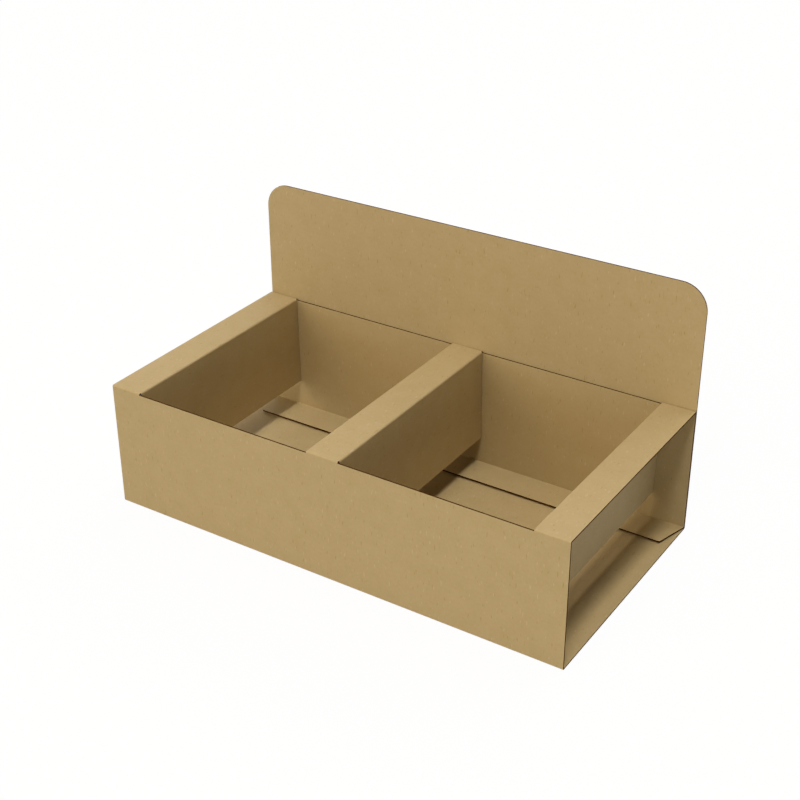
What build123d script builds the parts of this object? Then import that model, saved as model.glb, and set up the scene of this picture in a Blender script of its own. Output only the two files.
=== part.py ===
from build123d import *

import os
from math import pi, radians, tan

# Cardboard display stand, folded from one die-cut blank of kraft board.
# The sheet winds inwards in one direction: header and back panel, bottom, front, top,
# inner back panel, glue flap. The sleeve that this makes is open at both ends.
# Two windows in the top are cut down the middle and their card is folded down as flaps,
# which leaves two compartments between three strips.
# Frame in mm: X along the width, the front faces -Y, Z up, origin at the middle of the
# footprint on the surface that the stand rests on.

# The board and how it bends
board = 0.9
bend_inner = 0.1

# The glue between two layers
glue_film = 0.1

# Outer sizes of the folded stand
width = 300.0
depth = 155.5
sleeve_height = 80.0
header_rise = 76.6
header_corner = 16.0

# The glue flap, which rests on the bottom along its fold and lifts off it towards its edge
glue_flap_reach = 23.3
glue_flap_lift = 0.8
glue_flap_taper = 14.0

# The top panel: strips that stay level, and the card of the windows folded down
side_strip = 21.0
middle_strip = 21.8
flap_floor_gap = 19.8
flap_spring_back = 0.8
flap_end_clearance = 0.5
window_cut_drop = 0.05

# Planes and radii that follow from the sizes above
bend_outer = bend_inner + board
front_face = -depth / 2
back_face = depth / 2
inner_back_face = back_face - board - glue_film
glue_flap_underside = board + glue_film
glue_flap_fold = inner_back_face - bend_outer
glue_flap_edge = inner_back_face - glue_flap_reach

# A crease lies half the bend's developed length past the point where the bend begins,
# so this is how far inside a flap's face the cut edges beside the flap lie.
half_bend_length = pi / 2 * (bend_inner + board / 2) / 2
crease_inset = bend_outer - half_bend_length

# The flaps stand between the front panel and the inner back panel
flap_front_end = front_face + board + flap_end_clearance
flap_back_end = inner_back_face - board - flap_end_clearance

# Each window, as the X of the flap faces that bound it
strip_edge = width / 2 - side_strip
windows = [(-strip_edge, -middle_strip / 2), (middle_strip / 2, strip_edge)]


def through_the_board(corners):
    """The corners of the outer face carried through the board to its inner face.

    The board lies to the right of the path. Each corner moves along its mitre, so the
    board keeps its thickness at any angle of fold.
    """
    points = [Vector(*corner) for corner in corners]
    runs = [(end - start).normalized() for start, end in zip(points, points[1:])]
    rights = [Vector(run.Y, -run.X) for run in runs]
    mitres = [(a + b) / (1 + a.dot(b)) for a, b in zip(rights, rights[1:])]
    shifts = [rights[0], *mitres, rights[-1]]
    return [point + shift * board for point, shift in zip(points, shifts)]


def bent_board(plane, corners, length):
    """The board folded along the corners of its outer face, turning right at each one."""
    with BuildPart() as bent:
        with BuildSketch(plane):
            with BuildLine():
                outer = FilletPolyline(*corners, radius=bend_outer)
                inner = FilletPolyline(*through_the_board(corners), radius=bend_inner)
                Line(outer @ 0, inner @ 0)
                Line(outer @ 1, inner @ 1)
            make_face()
        extrude(amount=length / 2, both=True)
    return bent.part


def block(x_span, y_span, z_span):
    """A box between two limits along each axis, used as a cutter."""
    size = [high - low for low, high in (x_span, y_span, z_span)]
    middle = [(high + low) / 2 for low, high in (x_span, y_span, z_span)]
    return Pos(*middle) * Box(*size)


def sleeve():
    """The whole sheet wound up, before the header, windows and glue flap are trimmed."""
    return bent_board(
        Plane.YZ,
        [
            (back_face, sleeve_height + header_rise),
            (back_face, 0),
            (front_face, 0),
            (front_face, sleeve_height),
            (inner_back_face, sleeve_height),
            (inner_back_face, glue_flap_underside),
            (glue_flap_edge, glue_flap_underside + glue_flap_lift),
        ],
        width,
    )


def window_cutters(left_face, right_face):
    """What a window takes out of the top panel, its two folds and the bends of its flaps."""
    above = sleeve_height + board
    glue_line = back_face - board - glue_film / 2
    lowest_cut = sleeve_height - bend_outer - window_cut_drop
    between_creases = (left_face - crease_inset, right_face + crease_inset)
    between_bends = (left_face - bend_outer, right_face + bend_outer)
    return [
        block(between_creases, (front_face - board, glue_line), (lowest_cut, above)),
        block(between_bends, (flap_front_end, flap_back_end), (lowest_cut, above)),
    ]


def folded_strips():
    """The three strips of the top panel, each with the flaps that hang from its edges."""
    flap_length = flap_back_end - flap_front_end
    across = Plane(
        origin=(0, (flap_front_end + flap_back_end) / 2, 0),
        x_dir=(1, 0, 0),
        z_dir=(0, -1, 0),
    )
    lean = (sleeve_height - flap_floor_gap) * tan(radians(flap_spring_back))
    end = width / 2
    half_middle = middle_strip / 2
    left_strip = [
        (-end, sleeve_height),
        (-strip_edge, sleeve_height),
        (-strip_edge + lean, flap_floor_gap),
    ]
    middle_of_top = [
        (-half_middle - lean, flap_floor_gap),
        (-half_middle, sleeve_height),
        (half_middle, sleeve_height),
        (half_middle + lean, flap_floor_gap),
    ]
    right_strip = [
        (strip_edge - lean, flap_floor_gap),
        (strip_edge, sleeve_height),
        (end, sleeve_height),
    ]
    outlines = (left_strip, middle_of_top, right_strip)
    return [bent_board(across, outline, flap_length) for outline in outlines]


def glue_flap_trims():
    """The slanted cuts at both ends of the glue flap."""
    run = glue_flap_reach + board
    inset = run * tan(radians(glue_flap_taper))
    trims = []
    for side in (-1, 1):
        corners = [
            (side * width / 2, glue_flap_fold),
            (side * width / 2, glue_flap_fold - run),
            (side * (width / 2 - inset), glue_flap_fold - run),
        ]
        with BuildPart() as trim:
            with BuildSketch(Plane.XY.offset(board + glue_film / 2)):
                with BuildLine():
                    Polyline(*corners, close=True)
                make_face()
            extrude(amount=glue_flap_lift + 2 * board)
        trims.append(trim.part)
    return trims


def folded_blank():
    """The finished stand: one sheet, cut and folded."""
    sheet = sleeve()
    for left_face, right_face in windows:
        for cutter in window_cutters(left_face, right_face):
            sheet -= cutter
    for strip in folded_strips():
        sheet += strip
    for trim in glue_flap_trims():
        sheet -= trim
    header_corners = sheet.edges().filter_by(Axis.Y).group_by(Axis.Z)[-1]
    return fillet(header_corners, radius=header_corner)


os.makedirs("parts", exist_ok=True)
export_step(folded_blank(), "parts/folded_card_blank.step")
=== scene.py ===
# %% [markdown]
# # A display stand folded from one sheet of board
# The real stand is a single die-cut blank of brown kraft board. It is creased, wound round
# into a sleeve that is open at both ends, and glued at the back. Two windows in the top are
# cut down the middle, and their card is folded down, so goods stand between the flaps.
# This lesson makes it the same way: cut the flat blank, then let a node tree fold it.

# %% The fixed frame
from math import acos, atan2, ceil, cos, hypot, pi, radians, sin, tan

import bmesh
import bpy
from mathutils import Matrix, Quaternion, Vector


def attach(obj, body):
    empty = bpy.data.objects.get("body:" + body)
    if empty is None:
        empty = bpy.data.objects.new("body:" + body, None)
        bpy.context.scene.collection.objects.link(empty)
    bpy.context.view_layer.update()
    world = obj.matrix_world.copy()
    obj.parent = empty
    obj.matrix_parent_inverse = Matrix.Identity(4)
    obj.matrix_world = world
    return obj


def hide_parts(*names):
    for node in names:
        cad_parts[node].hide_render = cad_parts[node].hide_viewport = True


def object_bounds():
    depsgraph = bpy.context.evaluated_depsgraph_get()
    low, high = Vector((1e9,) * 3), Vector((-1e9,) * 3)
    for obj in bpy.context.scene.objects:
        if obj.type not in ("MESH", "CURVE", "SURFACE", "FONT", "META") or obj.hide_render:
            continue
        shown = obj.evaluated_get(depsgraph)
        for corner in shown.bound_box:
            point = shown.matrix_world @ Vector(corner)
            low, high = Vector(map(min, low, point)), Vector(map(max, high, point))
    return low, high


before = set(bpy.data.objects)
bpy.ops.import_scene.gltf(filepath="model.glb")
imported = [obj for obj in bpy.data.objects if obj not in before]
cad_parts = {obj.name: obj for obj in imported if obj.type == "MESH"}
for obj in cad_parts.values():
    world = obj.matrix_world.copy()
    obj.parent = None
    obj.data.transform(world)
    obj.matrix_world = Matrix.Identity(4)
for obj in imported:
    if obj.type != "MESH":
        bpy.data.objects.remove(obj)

cad_low, cad_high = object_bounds()
print("Solid model, metres:", tuple(cad_low), "to", tuple(cad_high))

# %% [markdown]
# ## The camera
# The camera comes first, because every later choice is judged through it. The stand is seen
# from its front right corner and from above. The camera could be placed by eye, but an object
# with this many straight edges tells more: the eye point, the line of sight and the lens were
# fitted until the edges ran where the photograph has them. The camera also leans a fifth of a
# degree, which its roll adds.

# %% Camera
eye = Vector((0.41029, -0.63240, 0.49646))
line_of_sight = Vector((-0.47597, 0.73365, -0.48498))
roll = -0.0034
lens_mm = 67.36
sensor_mm = 36.0

camera_data = bpy.data.cameras.new("camera")
camera_data.lens = lens_mm
camera_data.sensor_width = sensor_mm
camera = bpy.data.objects.new("camera", camera_data)
camera.location = eye
level = line_of_sight.to_track_quat("-Z", "Y")
camera.rotation_euler = (level @ Quaternion((0, 0, 1), roll)).to_euler()
bpy.context.scene.collection.objects.link(camera)
bpy.context.scene.camera = camera
print("Camera", round(eye.length, 3), "m from the origin, lens", lens_mm, "mm")

# %% [markdown]
# ## The sizes of the board
# The solid model gives the overall box. The rest are the sizes that the blank is drawn to: how
# thick the board is, how tightly it bends, and where the creases and cuts lie. The radius that
# counts for a fold is the one at the middle of the board, because that layer keeps its length.

# %% Sizes, in metres
mm = 0.001
board = 0.9 * mm
bend_inner = 0.1 * mm
glue_film = 0.1 * mm

width = cad_high.x - cad_low.x
front_face = cad_low.y
back_face = cad_high.y
overall_height = cad_high.z
sleeve_height = 80.0 * mm
header_corner = 16.0 * mm

side_strip = 21.0 * mm
middle_strip = 21.8 * mm
flap_spring_back_degrees = 0.8
flap_end_clearance = 0.5 * mm
window_cut_drop = 0.05 * mm
glue_flap_reach = 23.3 * mm
glue_flap_lift = 0.8 * mm
glue_flap_taper = radians(14)
print("Board", round(board / mm, 2), "mm, stand", round(width / mm), "mm wide")

# %% [markdown]
# From these follow the two radii of a bend, where the middle layer of each upright panel
# stands, and how far each fold turns. The flaps spring back a little from square. The glue
# flap is folded a little past square, so it lifts off the bottom panel towards its edge.

# %% What follows from the sizes
middle_radius = bend_inner + board / 2
outer_radius = middle_radius + board / 2
back_middle = back_face - board / 2
front_middle = front_face + board / 2
inner_back_middle = back_middle - board - glue_film

flap_angle = radians(90 - flap_spring_back_degrees)
glue_flap_angle = pi / 2 + atan2(glue_flap_lift, glue_flap_reach)
glue_flap_length = hypot(glue_flap_lift, glue_flap_reach)
print("The glue flap is", round(glue_flap_length / mm, 2), "mm long")

# %% [markdown]
# ## Where the creases fall on the flat sheet
# On the sheet, `travel` is the distance from the top of the header, along the middle of the
# board. A panel loses what its bends take from it: the radius at a square fold, a little
# more at the last one, which closes further. Each bend then adds its arc. A loop walks along
# the panels and notes every bend's start.

# %% Crease stations
fold_angles = [pi / 2] * 4 + [glue_flap_angle]
last_tangent = middle_radius * tan(glue_flap_angle / 2)
# Inside the last fold the middle layer meets its corner this much before the outer face does.
corner_lead = board / 2 * tan(glue_flap_angle / 2)
panel_spans = {
    "back": overall_height - board / 2 - middle_radius,
    "bottom": back_middle - front_middle - 2 * middle_radius,
    "front": sleeve_height - board - 2 * middle_radius,
    "top": inner_back_middle - front_middle - 2 * middle_radius,
    "inner_back": (sleeve_height - board / 2 - middle_radius
                   - (board + glue_film + corner_lead) - last_tangent),
    "glue_flap": glue_flap_length - corner_lead - last_tangent,
}
panel_start = {}
bends = []
travel = 0.0
for (panel, span), angle in zip(panel_spans.items(), [*fold_angles, None]):
    panel_start[panel] = travel
    travel += span
    if angle:
        bends.append((travel, middle_radius * angle))
        travel += middle_radius * angle
sheet_length = travel
print("Sheet", round(sheet_length / mm, 1), "mm long, bends at",
      [round(start / mm, 1) for start, _ in bends])

# %% [markdown]
# The two windows share their card between four flaps. A flap's crease runs along its strip,
# and the cut between the two flaps of a window lies halfway between the creases, so the
# flaps come out as long as the card allows, and no longer.

# %% Windows and flaps on the flat sheet
tangent = outer_radius * tan(flap_angle / 2)
flap_bend = middle_radius * flap_angle

middle_bend_x = middle_strip / 2 - tangent
side_bend_x = width / 2 - side_strip + tangent
middle_crease_x = middle_bend_x + flap_bend / 2
side_crease_x = side_bend_x - flap_bend / 2
slit_x = (middle_crease_x + side_crease_x) / 2

top_at_front = front_middle + middle_radius
flap_front = panel_start["top"] + front_face + board + flap_end_clearance - top_at_front
flap_back = (panel_start["top"] + inner_back_middle - board / 2 - flap_end_clearance
             - top_at_front)
front_cut = panel_start["front"] + panel_spans["front"] - window_cut_drop
back_cut = panel_start["inner_back"] + window_cut_drop
print("Flaps", round((slit_x - middle_crease_x) / mm, 1), "mm long,",
      round((flap_back - flap_front) / mm, 1), "mm wide")

# %% [markdown]
# ## Cutting the blank
# The blank could be filled from its outline, but long thin triangles bend badly. A grid
# bends well, if it has lines exactly where the board is cut and creased, fine lines inside
# each bend, and a line close to each side of a bend to keep the panels flat.

# %% Grid lines
BEND_STEPS = 8
CORNER_STEPS = 16
LONGEST_CELL = 6 * mm
BESIDE_A_BEND = 0.4 * mm
# Lines that agree to this many decimals of a metre are one line.
DECIMALS = 7


def bend_lines(start, length):
    """Lines through one bend, and one close to it on each side."""
    inside = [start + length * step / BEND_STEPS for step in range(BEND_STEPS + 1)]
    return [start - BESIDE_A_BEND, *inside, start + length + BESIDE_A_BEND]


def filled_in(lines):
    """The lines in order, with more between them where a cell would be too long."""
    wanted = sorted({round(line, DECIMALS) for line in lines})
    result = [wanted[0]]
    for low, high in zip(wanted, wanted[1:]):
        cells = ceil((high - low) / LONGEST_CELL)
        result += [low + (high - low) * (cell + 1) / cells for cell in range(cells)]
    return result


corner_turns = [pi / 2 * step / CORNER_STEPS for step in range(CORNER_STEPS + 1)]
row_lines = [header_corner * (1 - cos(turn)) for turn in corner_turns]
row_lines += [sheet_length, front_cut, back_cut, flap_front, flap_back]
for start, length in bends:
    row_lines += bend_lines(start, length)
rows = filled_in(row_lines)

right_lines = [0, slit_x, middle_crease_x, side_crease_x, width / 2]
right_lines += bend_lines(middle_bend_x, flap_bend)
right_lines += bend_lines(side_bend_x - flap_bend, flap_bend)
right_half = filled_in(right_lines)
columns = [-x for x in reversed(right_half[1:])] + right_half
print("Grid of", len(columns), "by", len(rows), "lines")

# %% [markdown]
# Three questions settle the cutting. How wide is the sheet at this row, where the header's
# corners are rounded and the glue flap's ends slant? Is there card in this cell, or a window's
# cut? And which flap, if any, does the cell belong to? A grid line that lies on a bend counts
# as beside it, so the flap's own stretch starts a hair further in.

# %% What the die cuts
HAIR = 0.01 * mm


def half_width(row):
    """Half the sheet's width at a row."""
    if row < header_corner:
        turn = acos(1 - row / header_corner)
        return width / 2 - header_corner * (1 - sin(turn))
    past_fold = row - panel_start["glue_flap"]
    return width / 2 - max(past_fold, 0) * tan(glue_flap_taper)


def between_bends(x):
    """Whether a place across the sheet lies between the flap bends' starts in a window."""
    return middle_bend_x + HAIR < abs(x) < side_bend_x - HAIR


def flap_of(x, row):
    """The flap at a point of the sheet as (side, strip), or None."""
    if not between_bends(x) or not flap_front - HAIR < row < flap_back + HAIR:
        return None
    side = 1 if x > 0 else -1
    return side, "middle" if abs(x) < slit_x else "side"


def has_card(x, row):
    """Whether the sheet has card at a point that isn't on a grid line."""
    in_window = middle_crease_x < abs(x) < side_crease_x and front_cut < row < back_cut
    return not in_window or flap_of(x, row) is not None


print("Half widths at the header's top, the bottom and the glue flap's edge, mm:",
      [round(half_width(row) / mm, 1) for row in (0, panel_start["bottom"], sheet_length)])

# %% [markdown]
# The blank hangs where its header will be, straight down past the table. Each grid point is
# made twice, on the outer and the inner face, and it carries what its fold will need: how far
# down the sheet it lies and, on a flap, where that flap's bend starts and which way it points.
# Points on a flap are kept apart from the panel beside them, as the knife keeps them apart.

# %% Points and faces of the blank
OUTER, INNER = 1, -1


def place_on_sheet(x, row, layer):
    """A point of the flat sheet in space, on the outer or the inner face."""
    squeezed = x * half_width(row) / (width / 2)
    return Vector((squeezed, back_middle + layer * board / 2, overall_height - row))


class Blank:
    """The flat board while it is made."""

    def __init__(self):
        self.work = bmesh.new()
        self.flap_way = self.work.verts.layers.float.new("flap_way")
        self.flap_start = self.work.verts.layers.float.new("flap_start")
        self.travel = self.work.verts.layers.float.new("travel")
        self.cut_edge = self.work.faces.layers.int.new("cut_edge")
        self.chart = self.work.loops.layers.uv.new("sheet")
        self.points = {}
        self.place_of = {}

    def point(self, column, row_number, layer, flap):
        """The point at a grid crossing, made the first time that it is asked for."""
        x, row = columns[column], rows[row_number]
        if not between_bends(x):
            flap = None
        key = (column, row_number, layer, flap)
        if key not in self.points:
            made = self.work.verts.new(place_on_sheet(x, row, layer))
            made[self.travel] = row
            if flap:
                side, strip = flap
                hangs_from_middle = strip == "middle"
                made[self.flap_way] = side if hangs_from_middle else -side
                made[self.flap_start] = side * (middle_bend_x if hangs_from_middle
                                                else side_bend_x)
            self.points[key] = made
            # The inner face lies two sheets further on in the map, so its pattern differs.
            self.place_of[made] = (made.co.x, row + (1 - layer) * sheet_length)
        return self.points[key]

    def face(self, corners, is_cut=False):
        """A face that knows whether the die cut it and where it lies on the sheet."""
        made = self.work.faces.new(corners)
        made[self.cut_edge] = int(is_cut)
        made.smooth = True
        for loop in made.loops:
            loop[self.chart].uv = self.place_of[loop.vert]

    def as_mesh(self):
        """The finished blank as a mesh, with its faces turned outwards."""
        bmesh.ops.recalc_face_normals(self.work, faces=self.work.faces)
        cm3 = self.work.calc_volume(signed=True) * 1e6
        open_edges = sum(not edge.is_manifold for edge in self.work.edges)
        print("Flat blank volume, cm3:", round(cm3, 2), "open edges:", open_edges)
        mesh = bpy.data.meshes.new("blank")
        self.work.to_mesh(mesh)
        self.work.free()
        return mesh


# %% [markdown]
# Now the grid is filled, cell by cell, with a face on each side of the board. An edge that two
# cells use is inside the sheet. One that only one cell uses is its rim, and gets a wall across
# the board. The walls are marked, because a cut edge is darker than the face.

# %% The flat blank
def cells_with_card():
    """Each cell of the grid that has card: its four crossings and its flap."""
    for column in range(len(columns) - 1):
        for row_number in range(len(rows) - 1):
            x = (columns[column] + columns[column + 1]) / 2
            row = (rows[row_number] + rows[row_number + 1]) / 2
            if has_card(x, row):
                around = [(column, row_number), (column + 1, row_number),
                          (column + 1, row_number + 1), (column, row_number + 1)]
                yield around, flap_of(x, row)


def flat_blank():
    """A mesh of the flat, die-cut board with its two faces and its cut edges."""
    blank = Blank()
    rim = {}
    for around, flap in cells_with_card():
        outer = [blank.point(*crossing, OUTER, flap) for crossing in around]
        inner = [blank.point(*crossing, INNER, flap) for crossing in around]
        blank.face(outer)
        blank.face(inner[::-1])
        for near in range(4):
            far = (near + 1) % 4
            edge = frozenset((outer[near], outer[far]))
            wall = (outer[far], outer[near], inner[near], inner[far])
            rim[edge] = None if edge in rim else wall
    for wall in filter(None, rim.values()):
        blank.face(wall, is_cut=True)
    return blank.as_mesh()


stand = bpy.data.objects.new("folded_card", flat_blank())
bpy.context.scene.collection.objects.link(stand)

# %% [markdown]
# ## Helpers for node trees
# A tree is a list of small sums. Writing each as a node by hand hides the sum, so this small
# class lets a socket be added, multiplied and compared in plain Python.

# %% Sums of sockets
class Sum:
    """A socket that makes a Math node for each sign written beside it."""

    def __init__(self, tree, socket):
        self.tree = tree
        self.socket = socket

    def join(self, operation, *others, vector=False):
        """One Math or Vector Math node with this socket first."""
        kind = "ShaderNodeVectorMath" if vector else "ShaderNodeMath"
        node = self.tree.nodes.new(kind)
        node.operation = operation
        for socket, value in zip(node.inputs, (self, *others)):
            plug(self.tree, value, socket)
        return Sum(self.tree, node.outputs[0])

    def __add__(self, other):
        return self.join("ADD", other)

    def __sub__(self, other):
        return self.join("SUBTRACT", other)

    def __mul__(self, other):
        return self.join("MULTIPLY", other)

    def __truediv__(self, other):
        return self.join("DIVIDE", other)


def plug(tree, value, socket):
    """Links a Sum or a socket to a socket, or sets it to a plain value."""
    if isinstance(value, Sum):
        value = value.socket
    if isinstance(value, bpy.types.NodeSocket):
        tree.links.new(value, socket)
    else:
        socket.default_value = value


# %% [markdown]
# Two more helpers keep the trees short. One makes a node, sets it up and fills its inputs in a
# single call, and the other joins three numbers into a vector.

# %% Making nodes
def add(tree, kind, settings=None, **inputs):
    """A new node with its settings made and its inputs filled, by name or as n0, n1."""
    node = tree.nodes.new(kind)
    for name, value in (settings or {}).items():
        setattr(node, name, value)
    for name, value in inputs.items():
        numbered = name[0] == "n" and name[1:].isdigit()
        plug(tree, value, node.inputs[int(name[1:]) if numbered else name.replace("_", " ")])
    return node


def combined(tree, x, y, z):
    """A vector from three numbers or sockets."""
    return add(tree, "ShaderNodeCombineXYZ", X=x, Y=y, Z=z).outputs[0]


# %% [markdown]
# ## One fold
# A fold bends the sheet round a bar under its crease and leaves the rest straight. Both come
# from one rule: a point that lies `travel` past the start of the bend is pulled back by the
# arc that it has used up, and turned about the bar by that arc's angle. Past the bend the
# angle stops growing, so what follows the crease turns as one flat piece.

# %% The fold as a node group
def new_group(name, inputs, outputs):
    """An empty node group with named inputs and outputs: (group, input node, output node)."""
    group = bpy.data.node_groups.new(name, "GeometryNodeTree")
    for label, kind in inputs:
        group.interface.new_socket(label, in_out="INPUT", socket_type="NodeSocket" + kind)
    for label, kind in outputs:
        group.interface.new_socket(label, in_out="OUTPUT", socket_type="NodeSocket" + kind)
    return group, group.nodes.new("NodeGroupInput"), group.nodes.new("NodeGroupOutput")


def fold_group():
    """Turns the part of a sheet past a crease; the sheet's outer face looks along +Y."""
    group, given, result = new_group(
        "Fold",
        [("Position", "Vector"), ("Past Bend Start", "Float"), ("Crease Point", "Vector"),
         ("Direction", "Vector"), ("Angle", "Float"), ("Radius", "Float")],
        [("Position", "Vector")],
    )
    outwards = (0, 1, 0)
    past = Sum(group, given.outputs["Past Bend Start"])
    turned = (past / given.outputs["Radius"]).join("MAXIMUM", 0.0)
    turned = turned.join("MINIMUM", given.outputs["Angle"])
    used = turned * given.outputs["Radius"] * -1.0
    pull = add(group, "ShaderNodeVectorMath", {"operation": "SCALE"},
               n0=given.outputs["Direction"], Scale=used)
    pulled = Sum(group, given.outputs["Position"]).join("ADD", pull.outputs[0], vector=True)
    to_bar = add(group, "ShaderNodeVectorMath", {"operation": "SCALE"},
                 n0=outwards, Scale=given.outputs["Radius"])
    bar = Sum(group, given.outputs["Crease Point"])
    bar = bar.join("SUBTRACT", to_bar.outputs[0], vector=True)
    axis = add(group, "ShaderNodeVectorMath", {"operation": "CROSS_PRODUCT"},
               n0=outwards, n1=given.outputs["Direction"])
    turn = add(group, "ShaderNodeVectorRotate", {"rotation_type": "AXIS_ANGLE"},
               Vector=pulled, Center=bar, Axis=axis.outputs[0], Angle=turned)
    group.links.new(turn.outputs[0], result.inputs[0])
    return group


fold = fold_group()
print("Group", fold.name, "has", len(fold.nodes), "nodes")

# %% [markdown]
# ## Folding the whole blank
# The tree folds in the order that keeps each step simple. The flaps go first, while the sheet
# is flat, and one fold does all four, because each point knows its own flap. Then the creases
# follow from the last one back to the first, so every fold swings all that comes after it.

# %% The two kinds of fold
def one_fold(tree, **inputs):
    """The fold group used once."""
    node = tree.nodes.new("GeometryNodeGroup")
    node.node_tree = fold
    for name, value in inputs.items():
        plug(tree, value, node.inputs[name.replace("_", " ")])
    return node.outputs[0]


def named(tree, name):
    """A number stored on the blank's points or faces."""
    node = add(tree, "GeometryNodeInputNamedAttribute", {"data_type": "FLOAT"}, Name=name)
    return Sum(tree, node.outputs["Attribute"])


def with_flaps_down(tree, value, position):
    """The positions once the four flaps are folded out of the flat sheet."""
    split = add(tree, "ShaderNodeSeparateXYZ", Vector=position)
    way = named(tree, "flap_way")
    start = named(tree, "flap_start")
    past_start = (Sum(tree, split.outputs["X"]) - start) * way
    on_flap = way * way
    return one_fold(
        tree,
        Position=position,
        Past_Bend_Start=past_start * on_flap,
        Crease_Point=combined(tree, start, value["Sheet Middle"], 0.0),
        Direction=combined(tree, way, 0.0, 0.0),
        Angle=Sum(tree, value["Flap Angle"]) * value["Folded"],
        Radius=value["Radius"],
    )


def with_creases_folded(tree, value, position, creases):
    """The positions once every crease across the sheet is folded, the last one first."""
    travelled = named(tree, "travel")
    angle = Sum(tree, value["Last Angle"])
    for label in reversed(creases):
        crease_height = Sum(tree, value["Header Top"]) - value[label]
        position = one_fold(
            tree,
            Position=position,
            Past_Bend_Start=travelled - value[label],
            Crease_Point=combined(tree, 0.0, value["Sheet Middle"], crease_height),
            Direction=(0, 0, -1),
            Angle=angle * value["Folded"],
            Radius=value["Radius"],
        )
        angle = Sum(tree, value["Square Angle"])
    return position


# %% [markdown]
# The tree around them takes the blank and every size by name, so the same tree would fold
# another blank. Its input called Folded opens the stand flat again when it goes to 0. At its
# end the faces and the cut edges get their board.

# %% The folding tree
def folding_tree(creases):
    """Folds the flat blank into the stand and gives its faces and cut edges their board."""
    numbers = [*creases, "Header Top", "Sheet Middle", "Radius", "Flap Angle", "Square Angle",
               "Last Angle", "Folded"]
    tree, given, result = new_group(
        "Folded Blank",
        [("Blank", "Geometry"), *((label, "Float") for label in numbers),
         ("Face Board", "Material"), ("Cut Edge", "Material")],
        [("Folded Blank", "Geometry")],
    )
    value = given.outputs
    position = tree.nodes.new("GeometryNodeInputPosition").outputs[0]
    position = with_flaps_down(tree, value, position)
    position = with_creases_folded(tree, value, position, creases)
    moved = add(tree, "GeometryNodeSetPosition", Geometry=value["Blank"], Position=position)
    whole = add(tree, "GeometryNodeRealizeInstances", Geometry=moved.outputs[0])
    faced = add(tree, "GeometryNodeSetMaterial", Geometry=whole.outputs[0],
                Material=value["Face Board"])
    edged = add(tree, "GeometryNodeSetMaterial", Geometry=faced.outputs[0],
                Selection=named(tree, "cut_edge"), Material=value["Cut Edge"])
    tree.links.new(edged.outputs[0], result.inputs[0])
    return tree


crease_starts = {f"Bend {number} Start": start
                 for number, (start, _) in enumerate(bends, start=1)}
folding = folding_tree(list(crease_starts))
print("Tree", folding.name, "has", len(folding.nodes), "nodes")

# %% [markdown]
# ## Kraft board
# Brown board is never one colour. Looked at closely it has soft clouds where the pulp lay
# thicker, a fine mottle, and short fibres, pale or dark, that lie along the sheet. A picture
# of board would show them too, but it blurs up close and repeats, and noise does neither. The
# pattern follows the sheet through every fold, so it is laid out on the flat sheet's own map,
# in metres, and not in space.

# %% Helpers for the pattern
# Noise and the tone it makes both run from 0 to 1, round this middle.
MIDDLE = 0.5


def new_material(name):
    """A material with one Principled shader: (material, its tree, the shader)."""
    material = bpy.data.materials.new(name)
    material.use_nodes = True
    return material, material.node_tree, material.node_tree.nodes["Principled BSDF"]


def sheet_map(tree, across=1.0, along=1.0):
    """The flat sheet's own coordinates; under 1 they draw a pattern out that way."""
    chart = add(tree, "ShaderNodeUVMap", {"uv_map": "sheet"})
    return add(tree, "ShaderNodeMapping", Vector=chart.outputs[0],
               Scale=(across, along, 1.0)).outputs[0]


def cloud(tree, vector, per_metre, detail):
    """Soft noise from 0 to 1 as a Sum."""
    node = add(tree, "ShaderNodeTexNoise", Vector=vector, Scale=per_metre, Detail=detail)
    return Sum(tree, node.outputs["Fac"])


def flecks(tree, vector, per_metre, first_seen=0.68, full=0.8):
    """Sparse specks, 0 over most of the sheet and up to 1 at the few highest spots."""
    spots = cloud(tree, vector, per_metre, detail=1.0)
    return Sum(tree, add(tree, "ShaderNodeMapRange", Value=spots, From_Min=first_seen,
                         From_Max=full).outputs[0])


# %% [markdown]
# One number, the tone, adds the clouds, mottle and fibres up and picks a colour between a deep
# brown and a pale one. The deep one isn't just darker: its blue falls most. The pale fibres
# also stand up from the sheet a little, and the whole face is matt with a faint sheen.

# %% The face of the board
KRAFT = (0.465, 0.354, 0.175)
TONE_SWING = (0.15, 0.17, 0.38)
CLOUDS_PER_METRE = 90.0
MOTTLE_PER_METRE = 500.0
GRAIN_PER_METRE = 900.0
PALE_FIBRES_PER_METRE = 850.0
DARK_FIBRES_PER_METRE = 1000.0
FIBRE_HEIGHT = 0.08 * mm


def toned(colour, way):
    """A lighter (+1) or darker (-1) neighbour of a brown, whose blue changes most."""
    return tuple(part * (1 + way * share) for part, share in zip(colour, TONE_SWING))


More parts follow.
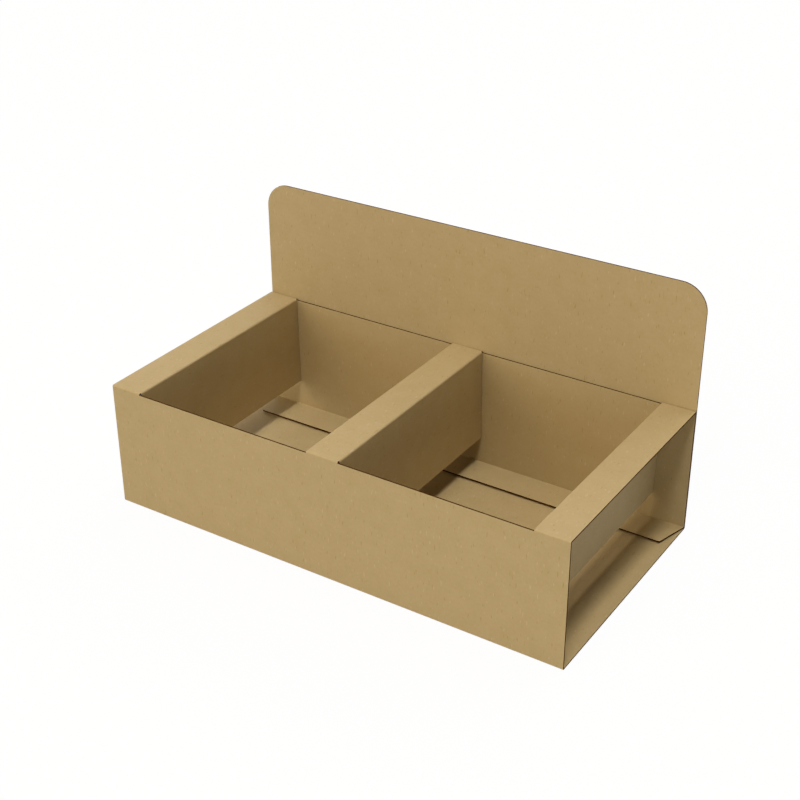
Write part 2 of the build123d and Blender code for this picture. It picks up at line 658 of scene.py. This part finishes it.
def kraft_face():
    """The two faces of the board."""
    material, tree, shader = new_material("kraft_face")
    plain = sheet_map(tree)
    clouds = cloud(tree, plain, CLOUDS_PER_METRE, detail=3.0) - MIDDLE
    mottle = cloud(tree, plain, MOTTLE_PER_METRE, detail=1.0) - MIDDLE
    pale_fibres = flecks(tree, sheet_map(tree, along=0.25), PALE_FIBRES_PER_METRE)
    dark_fibres = flecks(tree, sheet_map(tree, across=0.9, along=0.2), DARK_FIBRES_PER_METRE)
    # The weights say how far each pattern moves the tone.
    tone = clouds * 0.35 + mottle * 0.25 + pale_fibres * 0.85 - dark_fibres + MIDDLE
    board_colour = add(tree, "ShaderNodeMix", {"data_type": "RGBA"}, Factor=tone,
                       n6=(*toned(KRAFT, -1), 1), n7=(*toned(KRAFT, 1), 1))
    plug(tree, board_colour.outputs[2], shader.inputs["Base Color"])
    shader.inputs["Roughness"].default_value = 0.65
    shader.inputs["Specular IOR Level"].default_value = 0.25
    grain = cloud(tree, plain, GRAIN_PER_METRE, detail=1.0) * 0.3 + pale_fibres
    raised = add(tree, "ShaderNodeBump", Strength=0.3, Distance=FIBRE_HEIGHT, Height=grain)
    plug(tree, raised.outputs[0], shader.inputs["Normal"])
    return material


face_board = kraft_face()
print("Face", face_board.name, "from", [round(part, 3) for part in toned(KRAFT, -1)],
      "to", [round(part, 3) for part in toned(KRAFT, 1)])

# %% [markdown]
# A cut edge shows the inside of the board, crushed by the die: dark, rough and without any
# sheen. It could be painted along the rim of the face, but the walls across the board are
# faces of their own, so they simply get a material of their own.

# %% The cut edges
EDGE = (0.06, 0.023, 0.004)


def kraft_edge():
    """The walls across the board, in lighter and darker crumbs of one brown."""
    material, tree, shader = new_material("kraft_cut_edge")
    crumbs = cloud(tree, sheet_map(tree), GRAIN_PER_METRE, detail=3.0) - MIDDLE
    shade = crumbs * 0.8 + 1.0
    tint = add(tree, "ShaderNodeMix", {"data_type": "RGBA", "blend_type": "MULTIPLY"},
               Factor=1.0, n6=(*EDGE, 1), n7=shade)
    plug(tree, tint.outputs[2], shader.inputs["Base Color"])
    shader.inputs["Roughness"].default_value = 0.9
    shader.inputs["Specular IOR Level"].default_value = 0.0
    return material


cut_board = kraft_edge()
print("Cut edge", cut_board.name, EDGE)

# %% [markdown]
# ## Folding it
# A modifier's inputs are set by their identifiers before the stand is first evaluated. The
# folded result becomes a plain mesh, and the modifier goes.

# %% Fold and keep
SHARP_FROM = radians(40)


def run_tree(thing, tree, values):
    """Runs a tree on a piece and leaves the result as the piece's plain mesh."""
    modifier = thing.modifiers.new(tree.name, "NODES")
    modifier.node_group = tree
    for socket in tree.interface.items_tree:
        if socket.in_out == "INPUT" and socket.name in values:
            modifier[socket.identifier] = values[socket.name]
    depsgraph = bpy.context.evaluated_depsgraph_get()
    mesh = bpy.data.meshes.new_from_object(thing.evaluated_get(depsgraph))
    thing.modifiers.clear()
    thing.data = mesh
    mesh.name = thing.name


run_tree(stand, folding, {
    **crease_starts,
    "Header Top": overall_height,
    "Sheet Middle": back_middle,
    "Radius": middle_radius,
    "Flap Angle": flap_angle,
    "Square Angle": pi / 2,
    "Last Angle": glue_flap_angle,
    "Folded": 1.0,
    "Face Board": face_board,
    "Cut Edge": cut_board,
})
stand.data.set_sharp_from_angle(angle=SHARP_FROM)
print("Stand", len(stand.data.polygons), "faces, materials",
      [material.name for material in stand.data.materials])
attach(stand, "root")
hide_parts("folded_card_blank")

# %% [markdown]
# ## The floor
# The stand is seen on pure white. A white floor under the lamps would give that, but its bounce
# would light the stand strongly from below. So the floor is plain grey for the light that
# reaches the stand. To the eye it is nearly all an even white glow, with just enough lit floor
# mixed in to keep a faint shadow. It lies a hair below the stand, because two faces in one
# plane would flicker.

# %% Floor
FLOOR_HALF = 12.0
FLOOR_HEIGHT = -0.05 * mm
FLOOR_GREY = 0.55
FLOOR_GLOW = 0.94


def rays_that_see(tree):
    """1 for rays that show a picture of something: straight, mirrored or through glass."""
    path = tree.nodes.new("ShaderNodeLightPath")
    kinds = ("Is Camera Ray", "Is Glossy Ray", "Is Transmission Ray")
    camera_ray, glossy_ray, transmission_ray = (Sum(tree, path.outputs[kind]) for kind in kinds)
    return (camera_ray + glossy_ray + transmission_ray).join("MINIMUM", 1.0)


def floor_paint():
    """White to rays that see, grey to rays that only carry light."""
    material, tree, shader = new_material("white_floor")
    seen = rays_that_see(tree)
    grey = seen * (1 - FLOOR_GREY) + FLOOR_GREY
    plug(tree, combined(tree, grey, grey, grey), shader.inputs["Base Color"])
    shader.inputs["Roughness"].default_value = 1.0
    shader.inputs["Specular IOR Level"].default_value = 0.0
    glow = add(tree, "ShaderNodeEmission", Color=(1, 1, 1, 1), Strength=1.0)
    mix = add(tree, "ShaderNodeMixShader", n0=seen * FLOOR_GLOW, n1=shader.outputs[0],
              n2=glow.outputs[0])
    plug(tree, mix.outputs[0], tree.nodes["Material Output"].inputs["Surface"])
    return material


corners = [(-FLOOR_HALF, -FLOOR_HALF, FLOOR_HEIGHT), (FLOOR_HALF, -FLOOR_HALF, FLOOR_HEIGHT),
           (FLOOR_HALF, FLOOR_HALF, FLOOR_HEIGHT), (-FLOOR_HALF, FLOOR_HALF, FLOOR_HEIGHT)]
floor_mesh = bpy.data.meshes.new("floor")
floor_mesh.from_pydata(corners, [], [(0, 1, 2, 3)])
floor_mesh.materials.append(floor_paint())
floor = bpy.data.objects.new("floor", floor_mesh)
bpy.context.scene.collection.objects.link(floor)
print("Floor", 2 * FLOOR_HALF, "m wide")

# %% [markdown]
# ## Lamps like those of a studio
# Shadow edges tell where the light comes from. The board over the compartments casts its
# shadow nearly straight down, soft by a few millimetres, and the walls that face forwards are
# lit too. A small lamp overhead would leave those walls dark. A long, narrow strip of light
# above the stand, from front to back, does both. It takes three lamps, because it is dimmer
# along its right side and behind the stand. Wide soft boxes fill in the rest. How bright and
# how warm each lamp is was fitted to the light on the faces of the stand.

# %% Lamps
REACH = 10.0


def soft_box(name, middle, across, along, brightness, tint):
    """A flat lamp of even brightness on a wall or the ceiling of the studio.

    `across` and `along` are half its width and its height, as vectors. A lamp shines along
    its own -Z, so `across` x `along` points away from the stand.
    """
    across, along = Vector(across), Vector(along)
    away = across.cross(along).normalized()
    data = bpy.data.lights.new(name, "AREA")
    data.shape = "RECTANGLE"
    data.size = 2 * across.length
    data.size_y = 2 * along.length
    # A lamp's energy counts for its whole area, so a larger one needs more to look as bright.
    data.energy = brightness * pi * data.size * data.size_y
    data.color = tint
    lamp = bpy.data.objects.new(name, data)
    turn = Matrix((across.normalized(), along.normalized(), away)).transposed()
    lamp.matrix_world = Matrix.Translation(middle) @ turn.to_4x4()
    lamp.visible_camera = False
    bpy.context.scene.collection.objects.link(lamp)
    print("Lamp", name, round(data.size, 2), "by", round(data.size_y, 2), "m")


soft_box("strip", middle=(1.48, -4.0, REACH), across=(0.52, 0, 0), along=(0, 6.0, 0),
         brightness=12.9, tint=(1.06, 1.0, 0.93))
soft_box("strip_side", middle=(2.3, -5.0, REACH), across=(0.3, 0, 0), along=(0, 5.0, 0),
         brightness=8.4, tint=(0.96, 1.0, 1.04))
soft_box("strip_back", middle=(1.55, 6.0, REACH), across=(0.45, 0, 0), along=(0, 4.0, 0),
         brightness=6.2, tint=(1.03, 1.0, 0.97))
soft_box("ceiling", middle=(-0.35, 0.0, REACH), across=(0.65, 0, 0), along=(0, 10.0, 0),
         brightness=3.0, tint=(1.12, 1.0, 0.91))
soft_box("front", middle=(-5.0, -REACH, 6.0), across=(5.0, 0, 0), along=(0, 0, 4.0),
         brightness=2.45, tint=(1.2, 1.0, 0.72))
soft_box("left", middle=(-REACH, 0.0, 3.5), across=(0, -10.0, 0), along=(0, 0, 1.5),
         brightness=0.75, tint=(0.75, 1.0, 1.4))
soft_box("back", middle=(0.0, REACH, 7.0), across=(-10.0, 0, 0), along=(0, 0, 3.0),
         brightness=1.76, tint=(1.08, 1.0, 0.95))

# %% [markdown]
# ## The white room
# The room itself glows only low over the floor, all round and most of all in front. That is
# what the open ends of the sleeve look out on. A direction's Z tells how high it points, and
# its Y, below 0, how far to the front. To the eye the room is plain white all over.

# %% World
GLOW_FADES_BETWEEN = (0.12, 0.26)
FRONT_FADES_BETWEEN = (-0.85, -0.65)
FRONT_GLOW = 1.5
GLOW_ELSEWHERE = 0.6

world = bpy.data.worlds.new("white_room")
bpy.context.scene.world = world
world.use_nodes = True
room = world.node_tree
direction = add(room, "ShaderNodeSeparateXYZ",
                Vector=room.nodes.new("ShaderNodeTexCoord").outputs["Generated"])
low_glow = add(room, "ShaderNodeMapRange", Value=direction.outputs["Z"],
               From_Min=GLOW_FADES_BETWEEN[0], From_Max=GLOW_FADES_BETWEEN[1],
               To_Min=1.0, To_Max=0.0)
frontwards = add(room, "ShaderNodeMapRange", Value=direction.outputs["Y"],
                 From_Min=FRONT_FADES_BETWEEN[0], From_Max=FRONT_FADES_BETWEEN[1],
                 To_Min=FRONT_GLOW, To_Max=GLOW_ELSEWHERE)
glow = Sum(room, low_glow.outputs[0]) * frontwards.outputs[0]
seen = rays_that_see(room)
unseen = seen * -1.0 + 1.0
background = room.nodes["Background"]
plug(room, unseen * glow + seen, background.inputs["Strength"])
background.inputs["Color"].default_value = (1, 1, 1, 1)
print("World", world.name, "has", len(room.nodes), "nodes")

# %% [markdown]
# ## The picture
# Standard shows each colour as it is, where a film look would bend it.

# %% Picture settings and the end
bpy.context.scene.view_settings.view_transform = "Standard"
